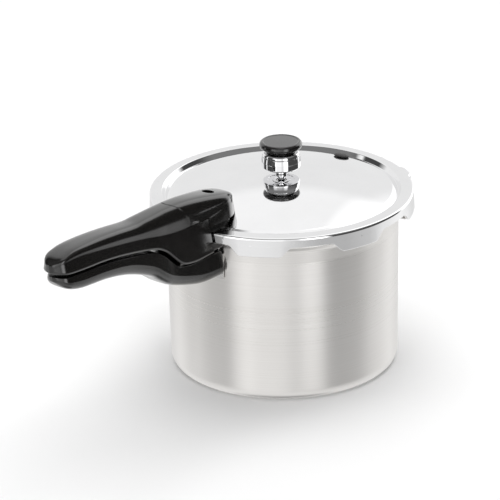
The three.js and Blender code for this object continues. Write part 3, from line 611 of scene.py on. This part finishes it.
def make_upper_handle():
    head = combine(upper_loft("cover_handle_cap"), [clear_of_cover("clear")], "DIFFERENCE")
    taken = [clear_of_cover("clear"), cap_region("cap", 0.6)]
    grip = combine(upper_loft("cover_handle"), taken, "DIFFERENCE")
    combine(head, [cap_region("cap", 0)], "INTERSECT")
    edge_rounded(head, 0.45)
    edge_rounded(grip, 0.45)
    hollow = upper_loft("hollow", CAP_WALL, 150, end=CAP_SEAM_X + 1.5)
    combine(head, [hollow, moved(rod("hole", 5.6, 180, 220, 64), LOCK_X + 2)], "DIFFERENCE")
    tongue = upper_loft("tongue", CAP_WALL + GAP, 174, start=113, end=CAP_SEAM_X + 3)
    combine(grip, [tongue], "UNION")
    cuts = [block("slot", (100, 153), (-13.35, 13.35), (168.95, 171.25))]
    cuts += [moved(rod("hole", 2.4, 140, 186, 32), x) for x in COVER_SCREW_XS]
    cuts += [moved(rod("hole", 5, 140, 154.4, 48), x) for x in COVER_SCREW_XS]
    combine(grip, cuts, "DIFFERENCE")
    finished(head, "cover", "handle", "cover_handle_head")
    finished(grip, "cover", "handle", "cover_handle_grip")


def lower_ring(x):
    full = lower_width(x) if x < 145 else upper_width(x) - 0.4
    w = max(full * tip_share(x, LOWER_TIP_X), 0.15)
    top = lower_top(x)
    low = min(lower_bottom(x), top - 2)
    belly = min(11, (top - low) * 0.6)
    edge = min(1.5, w * 0.4, (top - low) * 0.3)
    upper, under = drafted_widths(w, top - low - belly, 1)
    high_end, low_end = (upper, top - edge), (under, low + belly)
    ring = []
    for a in steps(0, 180, 48):
        c, s = math.cos(math.radians(a)), math.sin(math.radians(a))
        ring.append((x, under * math.copysign(abs(c) ** 0.55, c), low + belly - belly * s**0.75))
    ring += side(x, -1, high_end, low_end)[::-1]
    for a in steps(0, 90, 6):
        c, s = math.cos(math.radians(a)), math.sin(math.radians(a))
        ring.append((x, -upper + edge - edge * c, top - edge + edge * s))
    for a in steps(90, 0, 6):
        c, s = math.cos(math.radians(a)), math.sin(math.radians(a))
        ring.append((x, upper - edge + edge * c, top - edge + edge * s))
    return ring + side(x, 1, high_end, low_end)


PLATE_OUT_R = POT_R_TOP + 1.9


def make_lower_handle():
    stations = handle_stations(106, LOWER_TIP_X, LOWER_TIP_X)
    handle = skin("pot_handle", [lower_ring(x) for x in stations])
    combine(handle, [rod("clear", PLATE_OUT_R + GAP, 100, 170, 360)], "DIFFERENCE")
    edge_rounded(handle, 0.5)
    cuts = [block("slot", (104, 151), (-10.4, 10.4), (130.45, 132.95))]
    cuts += [moved(rod("hole", 2.6, 120, 140, 32), LOWER_SCREW_X)]
    cuts += [moved(rod("hole", 5.4, 110, 127.4, 48), LOWER_SCREW_X)]
    cuts += [radial(rod("hole", 4.6, 100, 115, 32), turn, RIVET_Z) for turn in (-RIVET_TURN, RIVET_TURN)]
    combine(handle, cuts, "DIFFERENCE")
    finished(handle, "pot", "handle", "body_handle")


# ---- Turned pieces -------------------------------------------------------------------------
PIPE_TOP_Z, PIPE_BORE_R = 199.0, 1.3
SKIRT_BASE_Z, SEAM_Z, WEIGHT_TOP_Z, BORE_R = 190.6, 201.8, 205.3, 5.2


def make_regulator():
    z = SKIRT_BASE_Z
    skirt = turned("weight_skirt", [
        (BORE_R, z + 1), (8.6, z + 0.2), (9, z + 1), (12.6, z + 0.7), (13, z), (17.4, z, 0.6),
        (18.3, z + 1.1, 1.2), (18.3, z + 6.2, 5), (17.7, SEAM_Z - 0.2, 0.35),
        (BORE_R, SEAM_Z - 0.2)], 0.3, 160)
    finished(skirt, "regulator", "chrome", "regulator_skirt")
    upper = turned("weight_top", [
        (3.4, SEAM_Z + 0.1), (17.5, SEAM_Z + 0.1, 0.35), (17.2, WEIGHT_TOP_Z - 1.2, 2),
        (16.2, WEIGHT_TOP_Z, 0.6),
        (3.4, WEIGHT_TOP_Z)], 0.3, 160)
    finished(upper, "regulator", "chrome", "regulator_upper_body")
    k = WEIGHT_TOP_Z + 0.3
    knob = turned("weight_knob", [
        (3.4, k), (13.6, k, 0.8), (14.2, k + 2, 2), (17, k + 3.2, 2), (19.4, k + 4.6, 1.6),
        (20, k + 6.6, 1.6),
        (19.6, TOP_Z - 1.6, 1.2), (18.2, TOP_Z - 0.3, 0.8), (16.9, TOP_Z, 0.5), (15.9, TOP_Z - 0.55, 0.5),
        (0.01, TOP_Z - 0.45), (0.01, 212.3), (3.4, 212.3)], 0.4, 160)
    finished(knob, "regulator", "handle", "regulator_knob")


def make_vent_pipe():
    z = DOME_TOP_Z
    pipe = turned("steam_pipe", [
        (PIPE_BORE_R, 172), (2.7, 172, 0.4), (VENT_R, 173, 0.4), (VENT_R, z + 0.4), (5.6, z + 0.4, 0.3),
        (5.6, z + 2.4, 0.6), (VENT_R, z + 2.8, 0.5), (VENT_R, 196.4, 0.6), (2, PIPE_TOP_Z, 0.4),
        (PIPE_BORE_R, PIPE_TOP_Z)], 0.2, 80)
    finished(pipe, "cover", "chrome", "vent_pipe")


def make_plug():
    plug = turned("safety_plug", [
        (0, -5.4), (3, -5.4, 0.8), (6, -4.2, 0.6), (6, -2.6, 0.5), (3.8, -2.5, 0.3), (3.8, 0.5, 0.3),
        (7.4, 0.5, 0.4), (7.4, 1.3, 0.5), (6, 2.5, 1.2), (3.4, 3.2, 1.5), (0, 3.4)], 0.3, 80)
    finished(tilted_plug(plug), "cover", "rubber", "overpressure_plug")


def make_sealing_ring():
    top = COVER_TOP_Z - COVER_SHEET - GAP
    ring = turned("rubber_ring", [
        (LIP_INNER_R, LIP_Z + GAP), (COVER_R - 2.9, LIP_Z + GAP, 0.6), (COVER_R - 2.9, LIP_Z + 1.4, 0.8),
        (COVER_R - 3.9, top, 0.8), (STEP_R + 1.6, top, 0.8)], 0.5, 240)
    finished(ring, "cover", "rubber", "sealing_ring")


RACK_Z = 12.0


def make_rack():
    rack = turned("rack", [
        (0, RACK_Z), (93.6, RACK_Z, 0.5), (94.2, POT_FLOOR + 0.3, 0.4), (95.6, POT_FLOOR + 0.3, 0.4),
        (96, RACK_Z - 0.2, 0.5), (98.6, RACK_Z + 0.4, 0.4), (98.6, RACK_Z + 1.4, 0.4),
        (95.6, RACK_Z + 1.2, 1.2), (0, RACK_Z + 1.2)], 0.3, 200)
    holes = []
    for ring, count in ((0, 1), (38, 6), (70, 12)):
        for i in range(count):
            a = math.tau * i / count
            hole = rod("hole", 6.5, RACK_Z - 2, RACK_Z + 3, 32)
            holes.append(moved(hole, ring * math.cos(a), ring * math.sin(a)))
    combine(rack, holes, "DIFFERENCE")
    finished(rack, "rack", "rack", "cooking_rack")


make_pot()
make_cover()
make_upper_handle()
make_lower_handle()
make_regulator()
make_vent_pipe()
make_plug()
make_sealing_ring()
make_rack()

# ---- CAD nodes that stay: fasteners, brackets and small fittings ---------------------------
SLOT_OF = {row["node"]: row["material_slot"] for row in frame["record"]["subparts"]}
for name, kept in frame["nodes"].items():
    kept.data.materials.clear()
    kept.data.materials.append(MATERIALS[SLOT_OF[name]])
    kept.data.shade_smooth()
    kept.data.set_sharp_from_angle(angle=SMOOTH_ANGLE)
    if not kept.hide_render:
        soft = kept.modifiers.new("edges", "BEVEL")
        soft.width, soft.segments = 0.2 * MM, 2
        soft.limit_method, soft.angle_limit = "ANGLE", math.radians(40)

# ---- Floor and studio -----------------------------------------------------------------------
FLOOR_HALF = 6.0
STUDIO_R = 8.0


def make_floor():
    material, tree, shader = new_material("pale_floor")
    cloud = stretched_noise(tree, 1.5, (1, 1, 1), 2.0)
    tree.links.new(tinted(tree, cloud, (0.90, 0.90, 0.90), (0.92, 0.92, 0.92)), shader.inputs["Base Color"])
    shader.inputs["Roughness"].default_value = 0.9
    shader.inputs["Specular IOR Level"].default_value = 0.1
    bm = bmesh.new()
    bmesh.ops.create_grid(bm, x_segments=2, y_segments=2, size=FLOOR_HALF)
    floor = from_bmesh("floor", bm)
    floor.data.materials.append(material)
    floor.visible_glossy = False


# Radiance of the studio against the angle round from the side that faces CAMERA_AZIMUTH, in
# degrees: below the horizon, near it, and well above it. It is fixed in the world. The levels
# were set so that the metal looks from that side as it does in the photograph.
FLOOR_BANDS = [
    (-180, 0.76), (-150, 0.78), (-128, 0.98), (-100, 0.78), (-70, 0.70), (-56, 0.62), (-38, 0.86),
    (-18, 0.86), (0, 0.80), (11, 0.64), (24, 0.54), (34, 0.48), (56, 0.48), (80, 0.58), (98, 0.85), (124, 0.98),
    (150, 0.78), (180, 0.76)]
LOW_BANDS = [
    (-180, 0.84), (-124, 0.9), (-114, 0.06), (-96, 0.06), (-93, 1.2), (-89, 1.2), (-86, 0.06), (-54, 0.06),
    (-46, 1.7), (-32, 1.7), (-26, 1.1), (0, 1.1), (4, 0.85), (13, 0.85), (22, 2.4), (34, 2.4), (42, 0.06),
    (114, 0.06), (124, 1.6), (154, 1.4), (164, 0.86), (180, 0.84)]
HIGH_BANDS = [
    (-180, 0.98), (-136, 0.98), (-114, 0.04), (-96, 0.2), (96, 0.2), (112, 0.04), (124, 1.6),
    (156, 1.6), (166, 0.98), (180, 0.98)]
SKY, DEEP_FLOOR, UNDER_FLOOR = 1.0, 0.9, 0.3
FULL = 4.0      # a ramp holds levels up to 1, so they are stored as shares of this


def band_ramp(tree, turn, bands):
    ramp = node(tree, "ShaderNodeValToRGB", {"Fac": turn}).color_ramp
    while len(ramp.elements) < len(bands):
        ramp.elements.new(0.5)
    for element, (angle, level) in zip(ramp.elements, bands):
        element.position = (angle + 180) / 360
        element.color = (level / FULL, level / FULL, level / FULL, 1)
    return tree.nodes[-1].outputs[0]


def mixed(tree, share, low, high):
    return node(tree, "ShaderNodeMix", {0: share, 2: low, 3: high}, data_type="FLOAT").outputs[0]


def make_studio():
    """A dome of soft light round the object, painted by direction, unseen by the camera."""
    material = bpy.data.materials.new("studio_light")
    material.use_nodes = True
    tree = material.node_tree
    tree.nodes.remove(tree.nodes["Principled BSDF"])
    coordinates = node(tree, "ShaderNodeTexCoord").outputs["Object"]
    unit = node(tree, "ShaderNodeVectorMath", {0: coordinates}, operation="NORMALIZE").outputs[0]
    facing = node(tree, "ShaderNodeMapping", {
        "Vector": unit, "Rotation": (0, 0, math.radians(-CAMERA_AZIMUTH))}).outputs[0]
    parts = node(tree, "ShaderNodeSeparateXYZ", {"Vector": facing})
    angle = maths(tree, "ARCTAN2", parts.outputs["Y"], parts.outputs["X"])
    turn = maths(tree, "ADD", maths(tree, "DIVIDE", angle, math.tau), 0.5)
    height = parts.outputs["Z"]

    def rise(low, high):
        return node(tree, "ShaderNodeMapRange", {
            "Value": height, "From Min": math.sin(math.radians(low)),
            "From Max": math.sin(math.radians(high))}, interpolation_type="SMOOTHSTEP").outputs[0]

    under = mixed(tree, rise(-80, -62), UNDER_FLOOR / FULL, DEEP_FLOOR / FULL)
    floor = mixed(tree, rise(-44, -30), under, band_ramp(tree, turn, FLOOR_BANDS))
    low = mixed(tree, rise(-14, -11.5), floor, band_ramp(tree, turn, LOW_BANDS))
    middle = mixed(tree, rise(30, 38), low, band_ramp(tree, turn, HIGH_BANDS))
    level = mixed(tree, rise(68, 76), middle, SKY / FULL)
    strength = maths(tree, "MULTIPLY", level, FULL)
    light = node(tree, "ShaderNodeEmission", {"Strength": strength})
    tree.links.new(light.outputs[0], tree.nodes["Material Output"].inputs["Surface"])
    bm = bmesh.new()
    bmesh.ops.create_uvsphere(bm, u_segments=64, v_segments=32, radius=STUDIO_R)
    dome = from_bmesh("studio_dome", bm)
    dome.data.materials.append(material)
    dome.visible_camera = False
    dome.visible_shadow = False


def make_lamp():
    """A wide soft lamp overhead, which shiny surfaces don't mirror."""
    data = bpy.data.lights.new("overhead", "AREA")
    data.shape, data.size, data.size_y = "RECTANGLE", 3.4, 3.4
    data.energy = 75.0
    lamp = bpy.data.objects.new("overhead", data)
    bpy.context.scene.collection.objects.link(lamp)
    lamp.location = (0, 0, 3.2)
    lamp.visible_camera = False
    lamp.visible_glossy = False


make_floor()
make_studio()
make_lamp()

world = bpy.data.worlds.new("plain_white")
world.use_nodes = True
world.node_tree.nodes["Background"].inputs["Color"].default_value = (1, 1, 1, 1)
bpy.context.scene.world = world
bpy.context.scene.view_settings.view_transform = "Standard"
